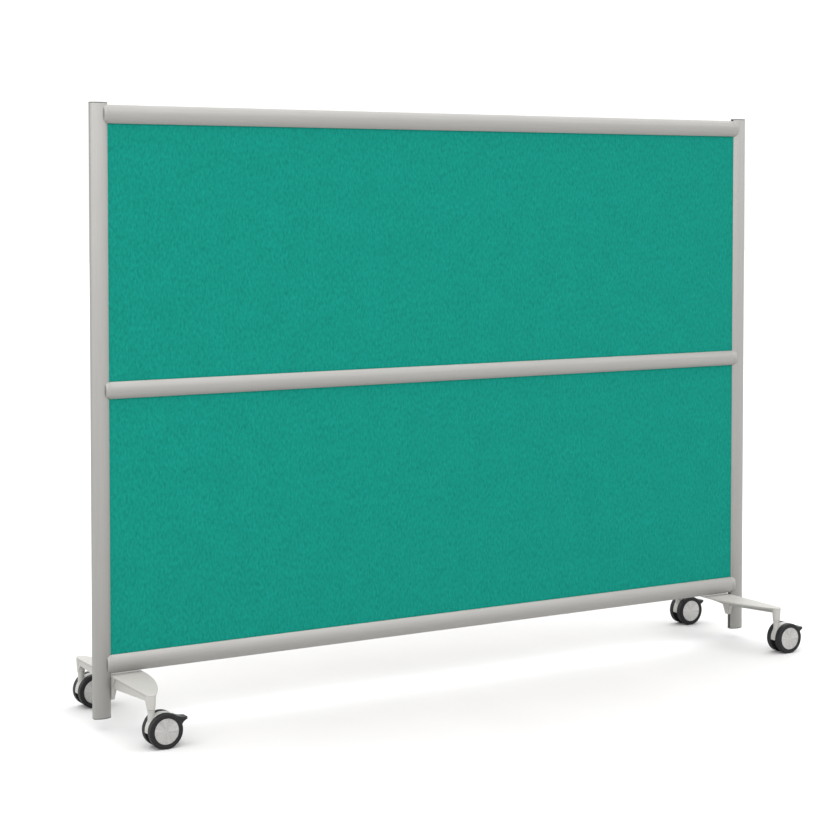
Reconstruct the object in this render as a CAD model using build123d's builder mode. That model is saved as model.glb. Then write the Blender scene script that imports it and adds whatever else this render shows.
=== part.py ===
from build123d import *
from math import cos, radians, sin
import os

# Mobile partition wall: two posts, three rails and two felt-covered panels on two feet with casters.
# Millimetres. +X runs along the wall, -Y is its front, +Z is up.
# The origin is on the floor, midway between the two posts.

os.makedirs("parts", exist_ok=True)

# Overall size
overall_width = 1800.0
overall_height = 1350.0

# Posts: barrel-shaped extrusions, crowned at front and back, flat on the two flanks
post_width = 38.5
post_depth = 24.6
post_flank = 11.0
post_wall = 1.8
post_web = 2.0
post_bottom = 24.0
post_edge_radius = 0.5
groove_width = 10.0
groove_depth = 10.0
trim_groove_depth = 6.0
cap_thickness = 2.5
cap_spigot = 5.0
cap_clearance = 0.15
cap_edge_radius = 0.9
trim_clearance = 0.1
trim_face = 2.0
trim_leg = 1.2
trim_depth = 5.0
post_x = overall_width / 2 - post_width / 2
post_inner_x = post_x - post_width / 2
inner_web_x = post_width / 2 - groove_depth
outer_web_x = -(post_width / 2 - trim_groove_depth)

# Rails: lens-shaped extrusions with a groove wherever a panel meets them
rail_depth = 30.0
rail_edge_depth = 15.0
rail_wall = 2.0
rail_edge_radius = 1.2
end_rail_height = 40.0
middle_rail_height = 37.0
top_rail_z = 1324.5
middle_rail_z = 732.5
bottom_rail_z = 140.5
rail_cut_x = post_inner_x - 1.0
port_boss_radius = 4.6
port_radius = 3.05

# Rail ends: coped pieces between a rail and a post, keyed into the post's groove
end_lap = 11.0
cope_clearance = 0.1
key_width = 9.6
key_clearance = 0.5
key_end_gap = 3.0
key_panel_gap = 1.0

# Panels: a rigid core with felt on both faces, held 10 mm deep in the grooves, which pinch the felt
core_thickness = 6.0
felt_thickness = 2.0
felt_pinched = 1.8
felt_margin = 0.6
panel_insert = 10.0
panel_side_insert = 9.5

# Fasteners: M6 socket-head bolts
bolt_radius = 3.0
bolt_clearance_radius = 3.2
bolt_head_radius = 5.0
bolt_head_height = 5.0
access_radius = 5.6
socket_width = 5.0
socket_depth = 3.0
rail_bolt_length = 40.0
foot_bolt_length = 18.0
foot_bolt_heights = (74.0, 93.0)
tapping_spare = 1.0

# Feet: a bow-shaped plate in plan, with a web, a lug on the post and a boss at each end
foot_top = 115.5
foot_plate = 5.5
foot_reach = 76.3
swivel_x = 850.5
swivel_y = 196.8
foot_tip_radius = 11.0
foot_edge_radius = 1.5
foot_bevel = 3.0
web_inset = 3.2
web_thickness = 7.0
web_depth_at_post = 28.0
web_depth_at_tip = 16.5
web_level = 15.0
web_overlap = 1.0
gusset_length = 14.0
gusset_foot = 6.0
gusset_gap = 3.0
boss_bottom = 83.3
boss_top_radius = 10.9
boss_bottom_radius = 9.0
lug_bottom = 63.0
lug_waist = 78.0
lug_root = foot_top - foot_edge_radius
lug_length = 8.0
lug_waist_length = 9.6
lug_root_length = 24.0
lug_width = 12.8
lug_waist_width = 21.0
lug_root_width = 56.0
foot_key_gap = 3.0
foot_key_overlap = 1.0

# Casters: twin wheels of 75 mm under a slim housing, trailing behind the stem
wheel_radius = 37.5
wheel_width = 15.0
wheel_gap = 16.2
wheel_trail = 25.4
tread_radius = 2.6
rim_inner_radius = 31.0
web_start = 9.5
web_end = 12.4
hub_radius = 8.5
disc_radius = 27.5
disc_thickness = 2.4
disc_seat_radius = 27.7
axle_radius = 4.0
axle_length = 39.8
axle_fit = 0.02
hub_gap = 0.3
rim_taper_start = 6.0
rim_taper = 3.0
disc_gap = 0.05
disc_rim = 2.0
disc_recess = 0.3
disc_edge = 0.5
running_clearance = 0.06
stem_radius = 4.0
stem_head_radius = 5.5
stem_bottom = 52.0
stem_top = 110.0
stem_end_gap = 0.5
stem_shoulder = 1.0
collar_gap = 0.8
collar_radius = 8.2
collar_height = 3.5
collar_edge_radius = 0.5

# Caster housing, its core and its brake pedal, measured around the axle
housing_half = 7.8
hood_radius = 37.2
hood_edge_radius = 1.2
hood_start_angle = 52.5
hood_inner_edge = 22.0
hood_end_angle = 185.0
neck_radius = 7.2
neck_root_radius = 7.7
hub_cheek_radius = 12.0
core_radius = 33.0
core_half = 7.5
core_start_angle = 186.0
core_end_angle = 344.0
pedal_ring_radius = 11.0
pedal_ring_half = 3.0
pedal_slot_half = 3.3
pedal_slot_radius = 12.3
pedal_arm_half = 7.2
pedal_arm_inner = 13.2
pedal_arm_start = 14.0
pedal_arm_end = 43.0
pedal_clear_radius = 38.6
pedal_arm_overlap = 0.6
pedal_half = 13.0
pedal_start_angle = 6.0
pedal_sweep = 45.0
pedal_top_point = (36.4, 24.5)
pedal_lip_top = (51.7, 22.6)
pedal_tip = (54.2, 19.6)
pedal_lip_bottom = (51.0, 17.2)
pedal_under_point = (42.3, 12.3)
pedal_plan_length = 70.0
pedal_corner_radius = 8.0
pedal_bevel = 0.6


def save(piece, name):
    """Labels a finished piece and writes it to its own file."""
    piece.part.label = name
    export_step(piece.part, f"parts/{name}.step")


def polar(radius, angle):
    """A point at an angle in degrees from local x."""
    return (radius * cos(radians(angle)), radius * sin(radians(angle)))


def post_plane(side, height):
    """A level plane on a post's axis, with local x towards the middle of the wall."""
    return Plane(origin=(side * post_x, 0, height), x_dir=(-side, 0, 0), z_dir=(0, 0, 1))


def bolt_plane(side, local_x):
    """A plane across a post, facing the middle of the wall, with local x upwards."""
    return Plane(origin=(side * (post_x - local_x), 0, 0), x_dir=(0, 0, 1), z_dir=(-side, 0, 0))


# ---------------------------------------------------------------- sections


def post_outline():
    """Barrel outline of a post."""
    half_width = post_width / 2
    half_flank = post_flank / 2
    with BuildSketch() as outline:
        with BuildLine():
            Line((half_width, -half_flank), (half_width, half_flank))
            ThreePointArc((half_width, half_flank), (0, post_depth / 2), (-half_width, half_flank))
            Line((-half_width, half_flank), (-half_width, -half_flank))
            ThreePointArc((-half_width, -half_flank), (0, -post_depth / 2), (half_width, -half_flank))
        make_face()
    return outline.sketch


def post_hollow(clearance):
    """The hollow between a post's two webs, or a spigot that fits it."""
    with BuildSketch() as hollow:
        add(post_outline())
        offset(amount=-post_wall - clearance, mode=Mode.REPLACE)
        inner = inner_web_x - post_web - clearance
        outer = outer_web_x + post_web + clearance
        with Locations(((inner + outer) / 2, 0)):
            Rectangle(inner - outer, post_depth, mode=Mode.INTERSECT)
    return hollow.sketch


def rail_outline(height):
    """Lens outline of a rail: y of the wall is local x, z is local y."""
    half_height = height / 2
    half_edge = rail_edge_depth / 2
    with BuildSketch() as outline:
        with BuildLine():
            Line((-half_edge, -half_height), (half_edge, -half_height))
            ThreePointArc((half_edge, -half_height), (rail_depth / 2, 0), (half_edge, half_height))
            Line((half_edge, half_height), (-half_edge, half_height))
            ThreePointArc((-half_edge, half_height), (-rail_depth / 2, 0), (-half_edge, -half_height))
        make_face()
        fillet(outline.vertices(), radius=rail_edge_radius)
    return outline.sketch


def groove_centres(height, grooved, depth):
    """Centres of the panel grooves cut into the named edges of a rail: 1 is the top edge, -1 the bottom."""
    return [(0, edge * (height / 2 - depth / 2)) for edge in grooved]


def rail_section(height, grooved, ports):
    """A rail's section: walls, a middle web, panel grooves and a screw port for each end bolt."""
    channel_depth = groove_depth + key_clearance + rail_wall
    with BuildSketch() as cavity:
        add(rail_outline(height))
        offset(amount=-rail_wall, mode=Mode.REPLACE)
        with Locations(groove_centres(height, grooved, channel_depth)):
            Rectangle(groove_width + 2 * rail_wall, channel_depth, mode=Mode.SUBTRACT)
        with Locations([(0, port) for port in ports]):
            Circle(port_boss_radius, mode=Mode.SUBTRACT)
        Rectangle(rail_wall, height, mode=Mode.SUBTRACT)
    with BuildSketch() as section:
        add(solid_rail_section(height, grooved, ports))
        add(cavity.sketch, mode=Mode.SUBTRACT)
    return section.sketch


def solid_rail_section(height, grooved, ports):
    """The same section without its cavity."""
    open_depth = groove_depth + key_clearance
    with BuildSketch() as section:
        add(rail_outline(height))
        with Locations(groove_centres(height, grooved, open_depth)):
            Rectangle(groove_width, open_depth, mode=Mode.SUBTRACT)
        with Locations([(0, port) for port in ports]):
            Circle(port_radius, mode=Mode.SUBTRACT)
    return section.sketch


# name: middle height, height, grooved edges, screw ports from the middle
rails = {
    "top": (top_rail_z, end_rail_height, (-1,), (1.0, 11.6)),
    "middle": (middle_rail_z, middle_rail_height, (1, -1), (0.0,)),
    "bottom": (bottom_rail_z, end_rail_height, (1,), (-1.0, -11.6)),
}
rail_bolt_heights = [middle + port for middle, _, _, ports in rails.values() for port in ports]
sides = {"left": -1, "right": 1}

# ---------------------------------------------------------------- posts and their trim

for side_name, side in sides.items():
    shaft_bottom = post_bottom + cap_thickness
    shaft_length = overall_height - cap_thickness - shaft_bottom
    bolt_heights = [*rail_bolt_heights, *foot_bolt_heights]

    with BuildPart() as post:
        with BuildSketch(post_plane(side, shaft_bottom)) as section:
            add(post_outline())
            fillet(section.vertices(), radius=post_edge_radius)
            with Locations((post_width / 2 - groove_depth / 2, 0)):
                Rectangle(groove_depth, groove_width, mode=Mode.SUBTRACT)
            with Locations((-post_width / 2 + trim_groove_depth / 2, 0)):
                Rectangle(trim_groove_depth, groove_width, mode=Mode.SUBTRACT)
            add(post_hollow(0), mode=Mode.SUBTRACT)
        extrude(amount=shaft_length)
        # access holes through the outer web, and clearance holes through the inner one
        with BuildSketch(bolt_plane(side, outer_web_x)):
            with Locations([(height, 0) for height in bolt_heights]):
                Circle(access_radius)
        extrude(amount=post_web, mode=Mode.SUBTRACT)
        with BuildSketch(bolt_plane(side, inner_web_x - post_web)):
            with Locations([(height, 0) for height in bolt_heights]):
                Circle(bolt_clearance_radius)
        extrude(amount=post_web, mode=Mode.SUBTRACT)
    save(post, f"post_{side_name}")

    # snap-in strip that closes the outer groove over the bolt heads
    with BuildPart() as trim_strip:
        strip_width = groove_width - 2 * trim_clearance
        leg_y = (strip_width - trim_leg) / 2
        with BuildSketch(post_plane(side, shaft_bottom)):
            with Locations((-post_width / 2 + trim_face / 2, 0)):
                Rectangle(trim_face, strip_width)
            with Locations([(-post_width / 2 + trim_depth / 2, y) for y in (leg_y, -leg_y)]):
                Rectangle(trim_depth, trim_leg)
        extrude(amount=shaft_length)
    save(trim_strip, f"trim_strip_{side_name}")

    with BuildPart() as top_cap:
        with BuildSketch(post_plane(side, overall_height - cap_thickness)):
            add(post_outline())
        extrude(amount=cap_thickness)
        fillet(top_cap.faces().sort_by(Axis.Z)[-1].edges(), radius=cap_edge_radius)
        with BuildSketch(post_plane(side, overall_height - cap_thickness)):
            add(post_hollow(cap_clearance))
        extrude(amount=-cap_spigot)
    save(top_cap, f"post_top_cap_{side_name}")

    with BuildPart() as bottom_cap:
        with BuildSketch(post_plane(side, post_bottom)):
            add(post_outline())
        extrude(amount=cap_thickness)
        fillet(bottom_cap.faces().sort_by(Axis.Z)[0].edges(), radius=cap_edge_radius)
        with BuildSketch(post_plane(side, shaft_bottom)):
            add(post_hollow(cap_clearance))
        extrude(amount=cap_spigot)
    save(bottom_cap, f"post_bottom_cap_{side_name}")

# ---------------------------------------------------------------- rails and their ends

for rail_name, (middle, height, grooved, ports) in rails.items():
    with BuildPart() as rail:
        with BuildSketch(Plane(origin=(-rail_cut_x, 0, middle), x_dir=(0, 1, 0), z_dir=(1, 0, 0))):
            add(rail_section(height, grooved, ports))
        extrude(amount=2 * rail_cut_x)
    save(rail, f"{rail_name}_rail")

    # the key stays clear of the panel, whose corner shares the post's groove
    panel_gap = groove_depth + key_panel_gap
    key_low = -height / 2 + (panel_gap if -1 in grooved else key_end_gap)
    key_high = height / 2 - (panel_gap if 1 in grooved else key_end_gap)
    for side_name, side in sides.items():
        end_plane = Plane(origin=(side * rail_cut_x, 0, middle), x_dir=(0, side, 0), z_dir=(side, 0, 0))
        with BuildPart() as rail_end:
            with BuildSketch(end_plane):
                add(solid_rail_section(height, grooved, ports))
            extrude(amount=end_lap)
            with BuildSketch(post_plane(side, middle - height)):
                add(post_outline())
                offset(amount=cope_clearance, mode=Mode.REPLACE)
            extrude(amount=2 * height, mode=Mode.SUBTRACT)
            with BuildSketch(end_plane):
                with Locations((0, (key_low + key_high) / 2)):
                    Rectangle(key_width, key_high - key_low)
                with Locations([(0, port) for port in ports]):
                    Circle(port_radius, mode=Mode.SUBTRACT)
            extrude(amount=post_inner_x - rail_cut_x + groove_depth - key_clearance)
        save(rail_end, f"{rail_name}_rail_end_{side_name}")

# ---------------------------------------------------------------- panels

panel_spans = {
    "lower": (bottom_rail_z + end_rail_height / 2, middle_rail_z - middle_rail_height / 2),
    "upper": (middle_rail_z + middle_rail_height / 2, top_rail_z - end_rail_height / 2),
}
panel_length = 2 * (post_inner_x + panel_side_insert)

for panel_name, (low, high) in panel_spans.items():
    panel_height = high - low + 2 * panel_insert
    panel_middle = (low + high) / 2

    with BuildPart() as core:
        with Locations((0, 0, panel_middle)):
            Box(panel_length, core_thickness, panel_height)
    save(core, f"{panel_name}_panel_core")

    for face_name, face in {"front": -1, "back": 1}.items():
        with BuildPart() as felt:
            with Locations((0, face * (core_thickness + felt_pinched) / 2, panel_middle)):
                Box(panel_length, felt_pinched, panel_height)
            with Locations((0, face * (core_thickness + felt_thickness) / 2, panel_middle)):
                Box(2 * (post_inner_x - felt_margin), felt_thickness, high - low - 2 * felt_margin)
        save(felt, f"{panel_name}_felt_{face_name}")

# ---------------------------------------------------------------- feet

foot_outer = post_width / 2
swivel_local = post_x - swivel_x
bow_reach = foot_outer + foot_reach
tip_reach = bow_reach - swivel_local
# the bow is tangent to both rounded tips
bow_radius = (tip_reach**2 + swivel_y**2 - foot_tip_radius**2) / (2 * (tip_reach - foot_tip_radius))
bow_centre = bow_reach - bow_radius
bow_share = bow_radius / (bow_radius - foot_tip_radius)
tangent_x = bow_centre + (swivel_local - bow_centre) * bow_share
tangent_y = swivel_y * bow_share
tip_mid_x, tip_mid_y = polar(foot_tip_radius, 120)


def lug_edge(bottom, waist, root):
    """One edge of a foot's lug: tapered at first, then curving out to meet the plate."""
    Line((bottom, lug_bottom), (waist, lug_waist))
    TangentArc((waist, lug_waist), (root, lug_root), tangent=(waist - bottom, lug_waist - lug_bottom))


def make_lug(side):
    """Lug against a post's inner flank, flared into the foot's plate both ways."""
    flank = (side * post_inner_x, 0, 0)
    with BuildPart() as lug:
        with BuildSketch(Plane(origin=flank, x_dir=(0, -side, 0), z_dir=(-side, 0, 0))):
            with BuildLine():
                Line((0, lug_bottom), (lug_width / 2, lug_bottom))
                lug_edge(lug_width / 2, lug_waist_width / 2, lug_root_width / 2)
                Line((lug_root_width / 2, lug_root), (0, lug_root))
                mirror(about=Plane.YZ)
            make_face()
        extrude(amount=lug_root_length)
        with BuildSketch(Plane(origin=flank, x_dir=(-side, 0, 0), z_dir=(0, side, 0))):
            with BuildLine():
                Polyline(
                    (lug_length, lug_bottom), (0, lug_bottom), (0, lug_root), (lug_root_length, lug_root),
                )
                lug_edge(lug_length, lug_waist_length, lug_root_length)
            make_face()
        extrude(amount=lug_root_width, both=True, mode=Mode.INTERSECT)
    return lug


for side_name, side in sides.items():
    lug = make_lug(side)

    with BuildPart() as foot:
        with BuildSketch(post_plane(side, foot_top - foot_plate)):
            with BuildLine():
                Line((foot_outer, -swivel_y), (foot_outer, swivel_y))
                for end in (1, -1):
                    tip_mid = (swivel_local + tip_mid_x, end * (swivel_y + tip_mid_y))
                    ThreePointArc((foot_outer, end * swivel_y), tip_mid, (tangent_x, end * tangent_y))
                ThreePointArc((tangent_x, tangent_y), (bow_reach, 0), (tangent_x, -tangent_y))
            make_face()
        extrude(amount=foot_plate)
        fillet(foot.faces().sort_by(Axis.Z)[-1].edges(), radius=foot_edge_radius)
        chamfer(foot.faces().sort_by(Axis.Z)[0].edges(), length=foot_bevel)

        # web under the straight edge, deepest at the post, with a gusset down each boss
        web_middle = side * (post_inner_x - web_inset - web_thickness / 2)
        web_plane = Plane(origin=(web_middle, 0, foot_top - foot_plate), x_dir=(0, 1, 0), z_dir=(1, 0, 0))
        deep = foot_plate - web_depth_at_post
        shallow = foot_plate - web_depth_at_tip
        low = boss_bottom + gusset_gap - (foot_top - foot_plate)
        with BuildSketch(web_plane):
            with BuildLine():
                Polyline(
                    (0, deep), (web_level, deep), (swivel_y - gusset_length, shallow),
                    (swivel_y - gusset_foot, low), (swivel_y, low), (swivel_y, web_overlap),
                    (0, web_overlap),
                )
                mirror(about=Plane.YZ)
            make_face()
        extrude(amount=web_thickness / 2, both=True)

        add(lug.part)

        # key that stands in the post's groove
        with BuildSketch(post_plane(side, lug_bottom + foot_key_gap)):
            with Locations((foot_outer - groove_depth / 2 + foot_key_overlap, 0)):
                Rectangle(groove_depth, key_width)
        extrude(amount=foot_top - lug_bottom - 2 * foot_key_gap)

        # tapered bosses for the caster stems
        for end in (1, -1):
            with BuildSketch(post_plane(side, boss_bottom)):
                with Locations((swivel_local, end * swivel_y)):
                    Circle(boss_bottom_radius)
            with BuildSketch(post_plane(side, foot_top - foot_edge_radius)):
                with Locations((swivel_local, end * swivel_y)):
                    Circle(boss_top_radius)
            loft()
        with BuildSketch(post_plane(side, boss_bottom)):
            with Locations((swivel_local, swivel_y), (swivel_local, -swivel_y)):
                Circle(stem_head_radius + running_clearance)
        extrude(amount=stem_top + stem_end_gap - boss_bottom, mode=Mode.SUBTRACT)

        # tapped holes for the foot bolts
        with BuildSketch(bolt_plane(side, inner_web_x)):
            with Locations([(height, 0) for height in foot_bolt_heights]):
                Circle(port_radius)
        extrude(amount=foot_bolt_length - post_web + tapping_spare, mode=Mode.SUBTRACT)
    save(foot, f"foot_{side_name}")

# ---------------------------------------------------------------- fasteners


def bolts(heights, length):
    """Socket-head bolts in both posts, their heads seated on the inner webs."""
    with BuildPart() as group:
        for side in sides.values():
            seat = inner_web_x - post_web
            with BuildSketch(bolt_plane(side, seat)):
                with Locations([(height, 0) for height in heights]):
                    Circle(bolt_radius)
            extrude(amount=length)
            with BuildSketch(bolt_plane(side, seat)):
                with Locations([(height, 0) for height in heights]):
                    Circle(bolt_head_radius)
            extrude(amount=-bolt_head_height)
            with BuildSketch(bolt_plane(side, seat - bolt_head_height)):
                with Locations([(height, 0) for height in heights]):
                    RegularPolygon(socket_width / 2, 6, major_radius=False)
            extrude(amount=socket_depth, mode=Mode.SUBTRACT)
    return group


save(bolts(rail_bolt_heights, rail_bolt_length), "rail_bolts")
save(bolts(foot_bolt_heights, foot_bolt_length), "foot_bolts")

# ---------------------------------------------------------------- casters

neck_top = boss_bottom - collar_gap
axle_z = wheel_radius
casters = {
    "front_left": (-swivel_x, -swivel_y),
    "front_right": (swivel_x, -swivel_y),
    "back_left": (-swivel_x, swivel_y),
    "back_right": (swivel_x, swivel_y),
}

# stems pressed into the feet, one for each caster
with BuildPart() as stems:
    stem_places = list(casters.values())
    with BuildSketch(Plane.XY.offset(stem_bottom)):
        with Locations(stem_places):
            Circle(stem_radius)
    extrude(amount=boss_bottom - stem_bottom + stem_shoulder)
    with BuildSketch(Plane.XY.offset(boss_bottom)):
        with Locations(stem_places):
            Circle(stem_head_radius)
    extrude(amount=stem_top - boss_bottom)
save(stems, "caster_stems")


def side_plane(x, y):
    """The upright plane through an axle's middle, seen from the front, with its origin on the axle."""
    return Plane(origin=(x + wheel_trail, y, axle_z), x_dir=(1, 0, 0), z_dir=(0, -1, 0))


def ring_sector(inner, outer, start, end):
    """A sketch between two radii and two angles around the axle."""
    with BuildSketch() as sector:
        with BuildLine():
            CenterArc((0, 0), outer, start, end - start)
            Line(polar(outer, end), polar(inner, end))
            CenterArc((0, 0), inner, start, end - start)
            Line(polar(inner, start), polar(outer, start))
        make_face()
    return sector.sketch


def make_housing(x, y):
    """Slim hood between the wheels, with a neck that turns on the stem."""
    with BuildPart() as housing:
        with BuildSketch(side_plane(x, y)):
            add(ring_sector(axle_radius / 2, hood_radius, hood_start_angle, hood_end_angle))
        extrude(amount=housing_half, both=True)
        axle = Vector(x + wheel_trail, y, axle_z)
        side_edges = housing.edges().filter_by(lambda edge: abs(edge.center().Y - y) > 0.9 * housing_half)
        rims = side_edges.filter_by(lambda edge: (edge.center() - axle).length > hood_inner_edge)
        fillet(rims, radius=hood_edge_radius)
        with BuildSketch(side_plane(x, y)):
            Circle(hub_cheek_radius)
        extrude(amount=housing_half, both=True)
        with BuildSketch(Plane(origin=(x, y, axle_z))):
            Circle(neck_root_radius)
        with BuildSketch(Plane(origin=(x, y, neck_top))):
            Circle(neck_radius)
        loft()
        with BuildSketch(Plane(origin=(x, y, neck_top))):
            Circle(collar_radius)
        extrude(amount=-collar_height)
        fillet(housing.faces().sort_by(Axis.Z)[-1].edges(), radius=collar_edge_radius)
        # bores for the stem and the axle
        with BuildSketch(Plane(origin=(x, y, neck_top))):
            Circle(stem_radius + running_clearance)
        extrude(amount=stem_bottom - stem_shoulder - neck_top, mode=Mode.SUBTRACT)
        with BuildSketch(side_plane(x, y)):
            Circle(axle_radius + axle_fit)
        extrude(amount=wheel_width, both=True, mode=Mode.SUBTRACT)
        # room for the pedal's ring
        with BuildSketch(side_plane(x, y)):
            Circle(pedal_slot_radius)
        extrude(amount=pedal_slot_half, both=True, mode=Mode.SUBTRACT)
    return housing


def make_core(x, y):
    """Dark filler below the axle, closing the gap between the wheels."""
    with BuildPart() as core:
        with BuildSketch(side_plane(x, y)):
            add(ring_sector(pedal_slot_radius, core_radius, core_start_angle, core_end_angle))
        extrude(amount=core_half, both=True)
    return core


def make_pedal(x, y):
    """Brake pedal: a ring on the axle, an arm between the wheels and a wide paddle outside them."""
    start = polar(pedal_clear_radius, pedal_start_angle)
    end = polar(pedal_clear_radius, pedal_start_angle + pedal_sweep)
    with BuildPart() as pedal:
        with BuildSketch(side_plane(x, y)):
            Circle(pedal_ring_radius)
            add(ring_sector(pedal_ring_radius / 2, pedal_arm_inner + 1, pedal_arm_start, pedal_arm_end))
        extrude(amount=pedal_ring_half, both=True)
        with BuildSketch(side_plane(x, y)):
            arm_outer = pedal_clear_radius + pedal_arm_overlap
            add(ring_sector(pedal_arm_inner, arm_outer, pedal_arm_start, pedal_arm_end))
        extrude(amount=pedal_arm_half, both=True)
        with BuildSketch(side_plane(x, y)):
            with BuildLine():
                CenterArc((0, 0), pedal_clear_radius, pedal_start_angle, pedal_sweep)
                ThreePointArc(end, pedal_top_point, pedal_lip_top)
                ThreePointArc(pedal_lip_top, pedal_tip, pedal_lip_bottom)
                ThreePointArc(pedal_lip_bottom, pedal_under_point, start)
            make_face()
        extrude(amount=pedal_half, both=True)
        # the paddle's free corners are rounded in plan
        with BuildSketch(Plane(origin=(x + wheel_trail, y, 0))) as plan:
            with Locations((pedal_tip[0] - pedal_plan_length / 2, 0)):
                Rectangle(pedal_plan_length, 2 * pedal_half)
            fillet(plan.vertices().group_by(Axis.X)[-1], radius=pedal_corner_radius)
        extrude(amount=2 * wheel_radius, mode=Mode.INTERSECT)
        paddle_edges = pedal.edges().filter_by(lambda edge: abs(edge.center().Y - y) > 0.99 * pedal_half)
        chamfer(paddle_edges, length=pedal_bevel)
        with BuildSketch(side_plane(x, y)):
            Circle(axle_radius + running_clearance)
        extrude(amount=pedal_half, both=True, mode=Mode.SUBTRACT)
    return pedal


def make_wheel(x, y, face):
    """A wheel with a rounded tread, a thin web and a seat for its disc; face is -1 in front, 1 behind."""
    with BuildPart() as wheel:
        origin = (x + wheel_trail, y + face * wheel_gap / 2, axle_z)
        with BuildSketch(Plane(origin=origin, x_dir=(0, face, 0), z_dir=(face, 0, 0))) as section:
            with BuildLine():
                Polyline(
                    (hub_gap, axle_radius + running_clearance), (hub_gap, hub_radius),
                    (web_start, hub_radius), (web_start, rim_inner_radius - rim_taper),
                    (rim_taper_start, rim_inner_radius), (0, rim_inner_radius),
                    (0, wheel_radius), (wheel_width, wheel_radius), (wheel_width, disc_seat_radius),
                    (web_end, disc_seat_radius), (web_end, axle_radius + running_clearance), close=True,
                )
            make_face()
            tread = section.vertices().filter_by(lambda corner: corner.Y > wheel_radius - tread_radius)
            fillet(tread, radius=tread_radius)
        revolve(axis=Axis(origin, (0, 1, 0)))
    return wheel


def make_disc(x, y, face):
    """Metal disc that closes a wheel's outer side, with a low raised rim."""
    with BuildPart() as disc:
        seat = wheel_gap / 2 + web_end + disc_gap
        origin = (x + wheel_trail, y + face * seat, axle_z)
        with BuildSketch(Plane(origin=origin, x_dir=(1, 0, 0), z_dir=(0, face, 0))):
            Circle(disc_radius)
        extrude(amount=disc_thickness)
        outer_face = disc.faces().sort_by(Axis.Y)[-1 if face > 0 else 0]
        chamfer(outer_face.edges(), length=disc_edge)
        with BuildSketch(Plane(origin=origin, x_dir=(1, 0, 0), z_dir=(0, face, 0)).offset(disc_thickness)):
            Circle(disc_radius - disc_rim)
        extrude(amount=-disc_recess, mode=Mode.SUBTRACT)
    return disc


def make_axle(x, y):
    """Steel axle through the housing and both wheels."""
    with BuildPart() as axle:
        with BuildSketch(side_plane(x, y)):
            Circle(axle_radius)
        extrude(amount=axle_length / 2, both=True)
    return axle


for caster_name, (x, y) in casters.items():
    save(make_housing(x, y), f"caster_housing_{caster_name}")
    save(make_core(x, y), f"caster_core_{caster_name}")
    save(make_axle(x, y), f"caster_axle_{caster_name}")
    save(make_pedal(x, y), f"brake_pedal_{caster_name}")
    for face_name, face in {"outer": y / abs(y), "inner": -y / abs(y)}.items():
        save(make_wheel(x, y, face), f"wheel_{face_name}_{caster_name}")
        save(make_disc(x, y, face), f"wheel_disc_{face_name}_{caster_name}")
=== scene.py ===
from math import pi, radians, sin

import bpy
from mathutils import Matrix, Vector, noise


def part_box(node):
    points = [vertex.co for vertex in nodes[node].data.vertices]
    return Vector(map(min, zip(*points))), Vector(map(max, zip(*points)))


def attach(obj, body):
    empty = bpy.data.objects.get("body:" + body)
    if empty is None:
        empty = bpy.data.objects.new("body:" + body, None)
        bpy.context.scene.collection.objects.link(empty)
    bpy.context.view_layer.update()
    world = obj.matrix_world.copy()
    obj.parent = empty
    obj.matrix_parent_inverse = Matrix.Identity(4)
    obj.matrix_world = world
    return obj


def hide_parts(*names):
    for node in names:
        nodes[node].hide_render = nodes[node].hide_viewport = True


# The looks of a mobile partition wall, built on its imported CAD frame.
# Metres, in the frame's own axes: +X along the wall, -Y its front, +Z up.

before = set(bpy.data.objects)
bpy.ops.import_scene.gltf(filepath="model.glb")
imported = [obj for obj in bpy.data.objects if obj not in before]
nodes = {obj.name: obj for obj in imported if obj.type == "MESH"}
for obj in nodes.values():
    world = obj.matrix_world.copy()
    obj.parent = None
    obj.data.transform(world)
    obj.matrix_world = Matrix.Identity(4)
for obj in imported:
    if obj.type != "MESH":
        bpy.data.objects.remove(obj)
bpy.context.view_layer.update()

PANELS = ("upper", "lower")
FACES = {"front": -1, "back": 1}
ALONG_X, ALONG_Z = 0, 2

EDGE_WIDTH = 0.0005
EDGE_ANGLE = radians(35)
WELD_DISTANCE = 0.00001

FELT_STEP = 0.012
FELT_EDGE_STEPS = (0.0008, 0.002, 0.0035, 0.006)
FELT_PINCH = 0.0002
FELT_ROLL = 0.004
FELT_WAVE = 0.00012
FELT_WAVES_PER_METRE = 9

FLOOR_REACH = 30.0
HORIZON_BRIGHTNESS = 1.04
ZENITH_BRIGHTNESS = 3.3

CAMERA_PLACE = (-2.4825, -3.9925, 1.1417)
CAMERA_TILT = 2.3
CAMERA_TURN = -31.044
CAMERA_LENS = 85.18
CAMERA_SHIFT = -0.1672

# ---------------------------------------------------------------- node graphs


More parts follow.
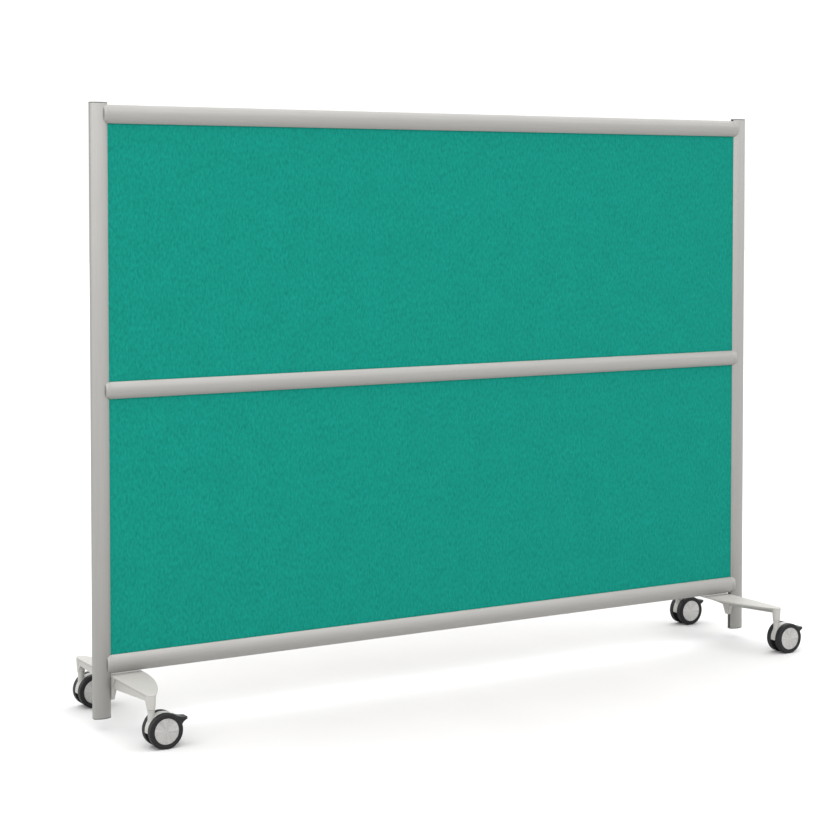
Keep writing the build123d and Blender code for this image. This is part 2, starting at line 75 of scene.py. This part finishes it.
class Graph:
    """A material's node tree, built one node at a time."""

    def __init__(self, name):
        self.material = bpy.data.materials.new(name)
        self.material.use_nodes = True
        self.tree = self.material.node_tree
        self.shader = self.tree.nodes["Principled BSDF"]

    def add(self, kind, inputs=None, **settings):
        """A new node. Each input is a value, or another node's output to link."""
        node = self.tree.nodes.new(kind)
        for key, value in settings.items():
            setattr(node, key, value)
        for key, value in (inputs or {}).items():
            self.feed(node.inputs[key], value)
        return node

    def feed(self, socket, value):
        if isinstance(value, bpy.types.NodeSocket):
            self.tree.links.new(value, socket)
        else:
            socket.default_value = value

    def place(self, stretch=(1, 1, 1), turn=(0, 0, 0), source="Object"):
        """Coordinates on the surface, stretched by a factor along each axis."""
        where = self.add("ShaderNodeTexCoord").outputs[source]
        mapping = self.add("ShaderNodeMapping", {"Vector": where, "Rotation": turn, "Scale": stretch})
        return mapping.outputs["Vector"]

    def grain(self, scale, detail=2.0, stretch=(1, 1, 1), turn=(0, 0, 0), roughness=0.5):
        """Noise with that many cells to a metre."""
        where = self.place(stretch, turn)
        inputs = {"Vector": where, "Scale": scale, "Detail": detail, "Roughness": roughness}
        return self.add("ShaderNodeTexNoise", inputs).outputs["Fac"]

    def noise_line(self, along, scale):
        """Noise that varies with one value only."""
        inputs = {"W": along, "Scale": scale, "Detail": 3.0}
        return self.add("ShaderNodeTexNoise", inputs, noise_dimensions="1D").outputs["Fac"]

    def ramp(self, factor, stops):
        """A value or colour from a factor, as (position, value or colour) stops."""
        node = self.add("ShaderNodeValToRGB", {"Fac": factor})
        band = node.color_ramp
        while len(band.elements) < len(stops):
            band.elements.new(0.5)
        for element, (position, value) in zip(band.elements, stops):
            element.position = position
            element.color = (*value, 1) if isinstance(value, tuple) else (value, value, value, 1)
        return node.outputs["Color"]

    def vector(self, operation, a, b):
        return self.add("ShaderNodeVectorMath", {0: a, 1: b}, operation=operation).outputs["Vector"]

    def math(self, operation, a, b):
        return self.add("ShaderNodeMath", {0: a, 1: b}, operation=operation).outputs["Value"]

    def blend(self, a, b, share):
        """That share of a and the rest of b."""
        return self.math("ADD", self.math("MULTIPLY", a, share), self.math("MULTIPLY", b, 1 - share))

    def shaded(self, colour, shade):
        """A colour multiplied by a shade of grey."""
        inputs = {0: 1.0, 6: colour, 7: shade}
        return self.add("ShaderNodeMix", inputs, data_type="RGBA", blend_type="MULTIPLY").outputs[2]

    def bump(self, height, distance, strength=1.0, below=None):
        """Surface relief, height in metres at factor 1."""
        inputs = {"Height": height, "Distance": distance, "Strength": strength}
        if below is not None:
            inputs["Normal"] = below
        return self.add("ShaderNodeBump", inputs).outputs["Normal"]

    def finish(self, **inputs):
        """Feeds the shader; names are its sockets, with _ for a space."""
        for key, value in inputs.items():
            self.feed(self.shader.inputs[key.replace("_", " ")], value)
        return self.material


def srgb(red, green, blue):
    """A display colour from 0 to 255 as linear light."""
    def linear(level):
        level /= 255
        return level / 12.92 if level <= 0.04045 else ((level + 0.055) / 1.055) ** 2.4
    return (linear(red), linear(green), linear(blue))


def shades(colour, spread):
    """A colour a little darker and a little lighter."""
    return tuple(c * (1 - spread) for c in colour), tuple(min(1.0, c * (1 + spread)) for c in colour)


# ---------------------------------------------------------------- materials


def extruded_metal(name, colour, along, roughness=0.5):
    """Satin silver aluminium with the faint draw lines of an extrusion along one axis."""
    graph = Graph(name)
    lines = tuple(0.012 if axis == along else 1.0 for axis in range(3))
    draw = graph.grain(900, 3.0, lines)
    cloud = graph.grain(9, 3.0)
    dark, light = shades(colour, 0.035)
    tone = graph.ramp(draw, ((0.3, dark), (0.7, light)))
    rough = graph.ramp(cloud, ((0.3, roughness - 0.04), (0.7, roughness + 0.06)))
    relief = graph.bump(draw, 0.00002, 0.4)
    return graph.finish(Base_Color=tone, Metallic=0.35, Roughness=rough, Normal=relief)


def powder_coat(name, colour, roughness=0.5, peel=0.00003):
    """Light grey coating with a fine orange-peel texture."""
    graph = Graph(name)
    skin = graph.grain(1100, 2.0)
    cloud = graph.grain(14, 3.0)
    dark, light = shades(colour, 0.025)
    tone = graph.ramp(cloud, ((0.3, dark), (0.7, light)))
    rough = graph.ramp(skin, ((0.3, roughness - 0.05), (0.7, roughness + 0.05)))
    return graph.finish(Base_Color=tone, Roughness=rough, Specular_IOR_Level=0.3,
                        Normal=graph.bump(skin, peel, 0.6))


def moulded(name, colour, roughness=0.5, gloss=0.25, texture=700):
    """Moulded plastic or rubber with a fine spark-eroded grain and light scuffs."""
    graph = Graph(name)
    skin = graph.grain(texture, 2.0)
    scuff = graph.grain(60, 4.0, roughness=0.7)
    dark, light = shades(colour, 0.16)
    tone = graph.ramp(scuff, ((0.35, dark), (0.75, light)))
    rough = graph.ramp(scuff, ((0.3, roughness - 0.08), (0.75, roughness + 0.1)))
    return graph.finish(Base_Color=tone, Roughness=rough, Specular_IOR_Level=gloss,
                        Normal=graph.bump(skin, 0.00005, 0.5))


def bare_steel(name, colour):
    """Bright turned steel with fine tool marks."""
    graph = Graph(name)
    marks = graph.grain(500, 4.0)
    dark, light = shades(colour, 0.1)
    tone = graph.ramp(marks, ((0.3, dark), (0.7, light)))
    rough = graph.ramp(marks, ((0.3, 0.22), (0.7, 0.38)))
    return graph.finish(Base_Color=tone, Metallic=1.0, Roughness=rough)


def brushed_disc(name, colour):
    """Aluminium brushed in circles about the disc's own middle, which catches light in real highlights,
    with fans of highlight and shade also painted into its colour by angle.
    """
    graph = Graph(name)
    middle = graph.place(source="Generated")
    offset = graph.vector("SUBTRACT", middle, (0.5, 0.5, 0.5))
    flat = graph.vector("MULTIPLY", offset, (1.0, 0.0, 1.0))
    radius = graph.add("ShaderNodeVectorMath", {0: flat}, operation="LENGTH").outputs["Value"]
    rings = graph.noise_line(radius, 130.0)
    axes = graph.add("ShaderNodeSeparateXYZ", {"Vector": offset}).outputs
    angle = graph.math("ARCTAN2", axes["Z"], axes["X"])
    painted_fan_angle = graph.noise_line(angle, 2.6)
    speckle = graph.grain(700, 3.0)
    dark, light = shades(colour, 0.09)
    tone = graph.ramp(rings, ((0.3, dark), (0.7, light)))
    # painted highlight and shade: lighter and darker fans by angle about the disc's middle, multiplied
    # into its colour
    painted_sheen_fans = graph.ramp(graph.blend(painted_fan_angle, speckle, 0.7), ((0.38, 0.78), (0.6, 1.0)))
    rough = graph.ramp(speckle, ((0.3, 0.25), (0.7, 0.45)))
    tangent = graph.add("ShaderNodeTangent", direction_type="RADIAL", axis="Y").outputs["Tangent"]
    return graph.finish(Base_Color=graph.shaded(tone, painted_sheen_fans), Metallic=0.9, Roughness=rough, Anisotropic=0.7,
                        Tangent=tangent, Normal=graph.bump(rings, 0.00002, 0.4))


def pressed_felt(name, colour):
    """Blue-green felt: short matted fibres that lie mostly upright, in slightly different shades."""
    graph = Graph(name)
    lean = graph.grain(190, 2.0, (1, 1, 0.45), (0, radians(16), 0), 0.55)
    cross = graph.grain(220, 2.0, (1, 1, 0.5), (0, radians(-24), 0), 0.55)
    fuzz = graph.grain(1500, 3.0)
    cloud = graph.grain(16, 3.0)
    strands = graph.blend(lean, cross, 0.5)
    dark, light = shades(colour, 0.17)
    tone = graph.ramp(strands, ((0.36, dark), (0.5, colour), (0.66, light)))
    shade = graph.ramp(cloud, ((0.3, 0.94), (0.7, 1.0)))
    relief = graph.bump(fuzz, 0.0004, 0.5, graph.bump(strands, 0.0006, 0.6))
    return graph.finish(Base_Color=graph.shaded(tone, shade), Roughness=0.95, Specular_IOR_Level=0.02,
                        Sheen_Weight=0.06, Sheen_Roughness=0.5, Sheen_Tint=(0.2, 0.9, 0.8, 1.0),
                        Normal=relief)


def fibreboard(name, colour):
    """Pressed wood fibre."""
    graph = Graph(name)
    flecks = graph.grain(400, 4.0)
    dark, light = shades(colour, 0.2)
    tone = graph.ramp(flecks, ((0.35, dark), (0.65, light)))
    return graph.finish(Base_Color=tone, Roughness=0.85, Normal=graph.bump(flecks, 0.0001, 0.4))


silver = srgb(141, 140, 137)
# A darker copy of the silver for the trim strips on the posts' outer flanks: painted shade of those
# flanks.
flank_shade_silver = srgb(131, 131, 127)
finishes = {
    "frame_aluminium": extruded_metal("post_metal", silver, ALONG_Z),
    "rail_aluminium": extruded_metal("rail_metal", silver, ALONG_X),
    "rail_end_aluminium": extruded_metal("rail_end_metal", silver, ALONG_X),
    "trim_aluminium": extruded_metal("trim_metal", flank_shade_silver, ALONG_Z),
    "cap_grey": moulded("cap_plastic", srgb(100, 100, 98)),
    "foot_grey": powder_coat("foot_coat", srgb(158, 157, 153)),
    "core_board": fibreboard("core_fibreboard", srgb(120, 96, 70)),
    "felt_green": pressed_felt("green_felt", srgb(17, 116, 103)),
    "bolt_steel": bare_steel("bolt_metal", srgb(150, 150, 150)),
    "stem_steel": bare_steel("stem_metal", srgb(170, 170, 170)),
    "axle_steel": bare_steel("axle_metal", srgb(170, 170, 170)),
    "housing_grey": powder_coat("housing_plastic", srgb(156, 155, 152), 0.42, 0.00002),
    "core_black": moulded("core_plastic", srgb(10, 10, 10), 0.7, 0.1),
    "pedal_black": moulded("pedal_plastic", srgb(24, 24, 25), 0.42),
    "wheel_black": moulded("wheel_rubber", srgb(26, 26, 27), 0.55, 0.2),
    "disc_silver": brushed_disc("disc_metal", srgb(182, 181, 179)),
}


def soften_edges(node):
    """Rounds a metal piece's sharp edges a little, so that its joins show as fine lines."""
    weld = node.modifiers.new("weld", "WELD")
    weld.merge_threshold = WELD_DISTANCE
    bevel = node.modifiers.new("bevel", "BEVEL")
    bevel.width = EDGE_WIDTH
    bevel.segments = 2
    bevel.limit_method = "ANGLE"
    bevel.angle_limit = EDGE_ANGLE
    bevel.use_clamp_overlap = True
    bevel.harden_normals = True


for name, node in nodes.items():
    for place in node.material_slots:
        place.material = finishes[place.material.name]
    if "_rail" in name or name in ("post_left", "post_right"):
        soften_edges(node)

# ---------------------------------------------------------------- felt


def stations(low, high, mouth):
    """Places along one side of a sheet: close together at the frame's edge, even in between."""
    edge = [0.0, mouth, *(mouth + step for step in FELT_EDGE_STEPS)]
    inner_low, inner_high = low + edge[-1], high - edge[-1]
    count = round((inner_high - inner_low) / FELT_STEP)
    inner = [inner_low + (inner_high - inner_low) * i / count for i in range(1, count)]
    return [low + e for e in edge] + inner + [high - e for e in reversed(edge)]


def sheet_faces(width, height):
    """Faces of a closed sheet whose front and back are grids of points, width by height."""
    back = width * height
    faces = []
    for row in range(height - 1):
        for column in range(width - 1):
            a = row * width + column
            faces.append((a, a + 1, a + width + 1, a + width))
            faces.append((back + a, back + a + width, back + a + width + 1, back + a + 1))
    rim = list(range(width)) + [r * width + width - 1 for r in range(1, height)]
    rim += [(height - 1) * width + c for c in range(width - 2, -1, -1)]
    rim += [r * width for r in range(height - 2, 0, -1)]
    faces += [(b, a, back + a, back + b) for a, b in zip(rim, rim[1:] + rim[:1])]
    return faces


def felt_sheet(panel, face_name):
    """Felt over one face of a panel, pinched where the frame's grooves hold it."""
    node = f"{panel}_felt_{face_name}"
    face = FACES[face_name]
    low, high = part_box(node)
    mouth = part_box("post_left")[1].x - low.x
    xs = stations(low.x, high.x, mouth)
    zs = stations(low.z, high.z, mouth)
    outer, inner = (low.y, high.y) if face < 0 else (high.y, low.y)

    def depth(x, z):
        """How far the surface lies below its highest level."""
        edge = min(x - low.x, high.x - x, z - low.z, high.z - z) - mouth
        rise = max(0.0, min(1.0, edge / FELT_ROLL))
        wave = 0.5 + 0.5 * noise.noise(Vector((x * FELT_WAVES_PER_METRE, face, z * FELT_WAVES_PER_METRE)))
        return FELT_PINCH * (1 - sin(rise * pi / 2)) + FELT_WAVE * wave * rise

    points = [(x, outer - face * depth(x, z), z) for z in zs for x in xs]
    points += [(x, inner, z) for z in zs for x in xs]
    faces = sheet_faces(len(xs), len(zs))
    if face > 0:
        faces = [corners[::-1] for corners in faces]

    mesh = bpy.data.meshes.new(f"{node}_sheet")
    mesh.from_pydata(points, [], faces)
    mesh.shade_smooth()
    mesh.materials.append(finishes["felt_green"])
    sheet = bpy.data.objects.new(f"{node}_sheet", mesh)
    bpy.context.collection.objects.link(sheet)
    sheet.visible_diffuse = False  # no green cast on the grey feet and rails
    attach(sheet, "frame")
    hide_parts(node)


for panel in PANELS:
    for face_name in FACES:
        felt_sheet(panel, face_name)

# ---------------------------------------------------------------- floor, light and camera


def pale_floor():
    """A wide matt floor, hardly varied in tone."""
    graph = Graph("pale_floor")
    tone = graph.ramp(graph.grain(3, 3.0), ((0.3, 0.49), (0.7, 0.51)))
    mesh = bpy.data.meshes.new("floor")
    corners = [(x * FLOOR_REACH, y * FLOOR_REACH, 0) for x, y in ((-1, -1), (1, -1), (1, 1), (-1, 1))]
    mesh.from_pydata(corners, [], [(0, 1, 2, 3)])
    mesh.materials.append(graph.finish(Base_Color=tone, Roughness=0.8, Specular_IOR_Level=0.2))
    floor = bpy.data.objects.new("floor", mesh)
    bpy.context.collection.objects.link(floor)


def studio_world():
    """A white studio that grows brighter overhead."""
    world = bpy.data.worlds.new("studio")
    world.use_nodes = True
    tree = world.node_tree
    direction = tree.nodes.new("ShaderNodeTexCoord").outputs["Generated"]
    height = tree.nodes.new("ShaderNodeSeparateXYZ")
    brightness = tree.nodes.new("ShaderNodeMapRange")
    brightness.inputs["To Min"].default_value = HORIZON_BRIGHTNESS
    brightness.inputs["To Max"].default_value = ZENITH_BRIGHTNESS
    background = tree.nodes["Background"]
    background.inputs["Color"].default_value = (1.0, 1.0, 1.0, 1)
    tree.links.new(direction, height.inputs["Vector"])
    tree.links.new(height.outputs["Z"], brightness.inputs["Value"])
    tree.links.new(brightness.outputs["Result"], background.inputs["Strength"])
    bpy.context.scene.world = world


def soft_light(name, place, target, size, power):
    """A large square lamp that faces a point."""
    lamp = bpy.data.lights.new(name, "AREA")
    lamp.shape = "SQUARE"
    lamp.size = size
    lamp.energy = power
    light = bpy.data.objects.new(name, lamp)
    light.location = place
    light.rotation_euler = (Vector(target) - Vector(place)).to_track_quat("-Z", "Y").to_euler()
    bpy.context.collection.objects.link(light)


def view_camera():
    """A long-lens camera in front of the wall, to its left."""
    data = bpy.data.cameras.new("camera")
    data.sensor_width = 36.0
    data.lens = CAMERA_LENS
    data.shift_y = CAMERA_SHIFT
    camera = bpy.data.objects.new("camera", data)
    camera.location = CAMERA_PLACE
    camera.rotation_euler = (radians(90 - CAMERA_TILT), 0, radians(CAMERA_TURN))
    bpy.context.collection.objects.link(camera)
    return camera


pale_floor()
studio_world()
soft_light("key", place=(-2.4, -3.6, 3.2), target=(-0.5, 0, 0.7), size=3.0, power=45)
scene = bpy.context.scene
scene.view_settings.view_transform = "Standard"
scene.camera = view_camera()
